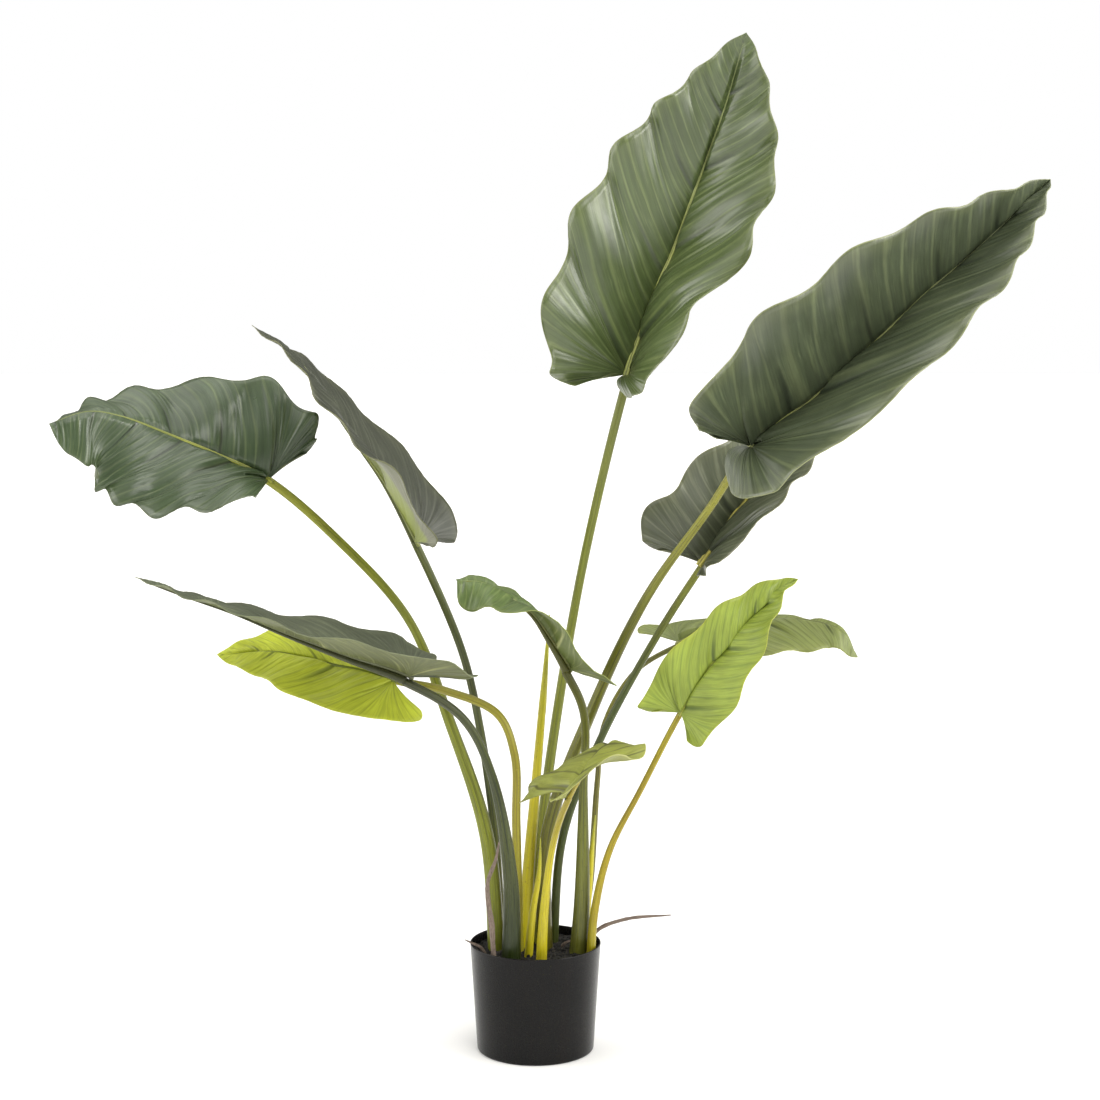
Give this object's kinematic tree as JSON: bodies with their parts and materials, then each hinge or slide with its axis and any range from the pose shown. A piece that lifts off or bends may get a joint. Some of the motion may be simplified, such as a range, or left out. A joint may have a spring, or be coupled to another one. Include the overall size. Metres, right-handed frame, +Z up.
{
  "type": "potted taro",
  "caption": "Tall potted taro plant with heart-shaped leaves on long arching stalks, rolled young leaves and aerial roots in a plain round nursery pot.",
  "frame": {"origin": "middle of the pot's flat underside, on the surface that the pot stands on", "axes": "+Z up, front towards -Y, +X to the right seen from the front"},
  "size_m": [1.0979, 0.4064, 1.1508],
  "materials": {
    "leaf_dark": "satin dark green with fine lighter veins",
    "leaf_mid": "satin mid green with fine veins",
    "leaf_lime": "satin lime green with fine darker veins",
    "stalk_green": "satin dark green, lightly mottled",
    "stalk_olive": "satin olive green, lightly mottled",
    "stalk_yellow": "satin yellow, brownish streaks",
    "spear": "satin yellow to yellow-green",
    "root": "matte grey-brown",
    "soil": "black loose granules",
    "pot": "matte dark grey-black moulded plastic"
  },
  "bodies": {
    "root": {"leaf_01_blade": "leaf_dark", "leaf_01_stalk": "stalk_olive", "leaf_02_blade": "leaf_dark", "leaf_02_stalk": "stalk_olive", "leaf_03_blade": "leaf_dark", "leaf_03_stalk": "stalk_green", "leaf_04_blade": "leaf_dark", "leaf_04_stalk": "stalk_olive", "leaf_05_blade": "leaf_dark", "leaf_05_stalk": "stalk_green", "leaf_06_blade": "leaf_dark", "leaf_06_stalk": "stalk_green", "leaf_07_blade": "leaf_lime", "leaf_07_stalk": "stalk_yellow", "leaf_08_blade": "leaf_mid", "leaf_08_stalk": "stalk_olive", "leaf_09_blade": "leaf_lime", "leaf_09_stalk": "stalk_yellow", "leaf_10_blade": "leaf_mid", "leaf_10_stalk": "stalk_olive", "leaf_11_blade": "leaf_lime", "leaf_11_stalk": "stalk_yellow", "spear_01": "spear", "spear_02": "spear", "spear_03": "spear", "root_01": "root", "root_02": "root", "root_03": "root", "root_04": "root", "soil": "soil", "pot": "pot"}
  },
  "joints": []
}
